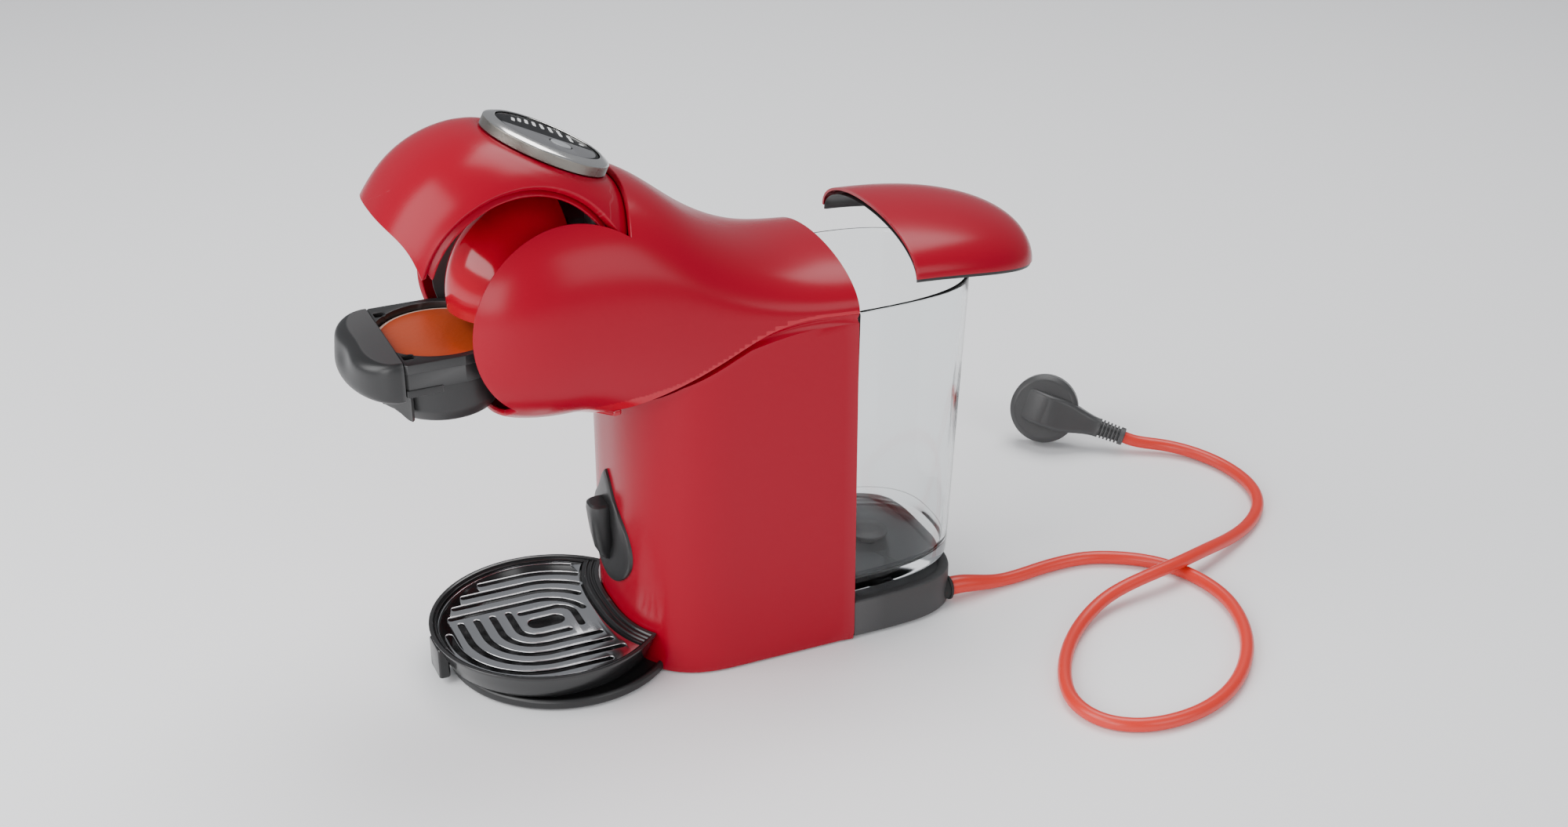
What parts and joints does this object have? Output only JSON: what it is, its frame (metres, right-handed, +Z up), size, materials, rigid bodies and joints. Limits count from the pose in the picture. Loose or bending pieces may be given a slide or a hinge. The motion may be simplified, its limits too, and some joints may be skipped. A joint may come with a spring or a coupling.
{
  "type": "pod coffee machine",
  "caption": "Pod coffee machine with raised closing handle, pod holder pulled out, lifted tank lid, clear rear water tank, drip tray with slotted grate and a mains cord",
  "frame": {"origin": "on the table, midway along and across the machine's own box, cord left out", "axes": "+Z up, -Y toward the user, +X to the right of a user facing the machine's front"},
  "size_m": [0.3078, 0.5137, 0.2839],
  "materials": {
    "red_gloss": "glossy moulded red",
    "black_plastic": "satin black moulding",
    "dark_plastic": "fine matte dark grey moulding",
    "polished_steel": "polished steel",
    "brushed_ring": "turned and brushed nickel",
    "clear_plastic": "clear moulded plastic",
    "rubber": "soft black rubber",
    "cord_red": "smooth red cord sheath",
    "foil_orange": "printed lacquered foil",
    "pale_plastic": "pale moulded plastic",
    "cast_aluminium": "as cast",
    "green_board": "coated circuit board"
  },
  "bodies": {
    "body": {"column_shell": "red_gloss", "rear_panel": "dark_plastic", "base_plate": "dark_plastic", "head_shell": "red_gloss", "outlet_cover": "red_gloss", "cheek_liner_left": "dark_plastic", "cheek_liner_right": "dark_plastic", "hinge_pin_left": "polished_steel", "hinge_pin_right": "polished_steel", "hinge_block": "dark_plastic", "needle_guide": "black_plastic", "tank_platform": "dark_plastic", "valve_seal": "rubber", "cord_gland": "rubber", "front_foot": "black_plastic", "foot_pad_front_left": "rubber", "foot_pad_front_right": "rubber", "foot_pad_rear_left": "rubber", "foot_pad_rear_right": "rubber", "hook_panel": "black_plastic", "tray_hook": "black_plastic", "chassis": "dark_plastic", "pump_body": "polished_steel", "pump_mount": "rubber", "thermoblock": "cast_aluminium", "flow_meter": "pale_plastic", "control_board": "green_board", "hot_water_tube": "pale_plastic", "mains_cord": "cord_red", "plug_body": "dark_plastic", "plug_relief": "rubber", "plug_pin_a": "polished_steel", "plug_pin_b": "polished_steel"},
    "handle": {"handle_shell": "red_gloss", "dial_cup": "black_plastic", "display_glass": "black_plastic"},
    "dial": {"dial_ring": "brushed_ring"},
    "button": {"select_button": "dark_plastic"},
    "press": {"jaw_cover": "red_gloss", "press_plate": "black_plastic", "needle": "polished_steel"},
    "holder": {"holder_plate": "black_plastic", "holder_grip": "black_plastic"},
    "pod": {"pod_cup": "pale_plastic", "pod_foil": "foil_orange"},
    "tank": {"tank_body": "clear_plastic", "tank_valve": "pale_plastic"},
    "lid": {"lid_shell": "red_gloss", "lid_liner": "black_plastic"},
    "tray": {"drip_tray": "black_plastic"},
    "grate": {"drip_grate": "polished_steel"}
  },
  "joints": [
    {"name": "handle_swing", "type": "hinge", "parent": "body", "child": "handle", "pos_m": [0, -0.0555, 0.2395], "axis": [1, 0, 0], "range_deg": [0, 35.5]},
    {"name": "press_drop", "type": "slide", "parent": "body", "child": "press", "axis": [0, 0, -1], "range_m": [0, 0.0055]},
    {"name": "dial_turn", "type": "hinge", "parent": "handle", "child": "dial", "pos_m": [0, -0.0725, 0.266], "axis": [0, 0.4415, 0.8973], "continuous": true},
    {"name": "button_press", "type": "slide", "parent": "handle", "child": "button", "axis": [0, -0.4415, -0.8973], "range_m": [0, 0.0012], "stiffness_N_per_m": 800},
    {"name": "holder_slide", "type": "slide", "parent": "body", "child": "holder", "axis": [0, -1, 0], "range_m": [-0.038, 0.08]},
    {"name": "pod_lift", "type": "slide", "parent": "holder", "child": "pod", "axis": [0, 0, 1], "range_m": [0, 0.007]},
    {"name": "tank_lift", "type": "slide", "parent": "body", "child": "tank", "axis": [0, 0, 1], "range_m": [0, 0.1]},
    {"name": "lid_close", "type": "slide", "parent": "tank", "child": "lid", "axis": [0, -0.9421, -0.3353], "range_m": [0, 0.0302]},
    {"name": "tray_slide", "type": "slide", "parent": "body", "child": "tray", "axis": [0, -1, 0], "range_m": [0, 0.06]},
    {"name": "grate_lift", "type": "slide", "parent": "tray", "child": "grate", "axis": [0, 0, 1], "range_m": [0, 0.04]}
  ],
  "couplings": [
    {"joint": "press_drop", "follows": "handle_swing", "m_per_rad": 0.008876}
  ]
}
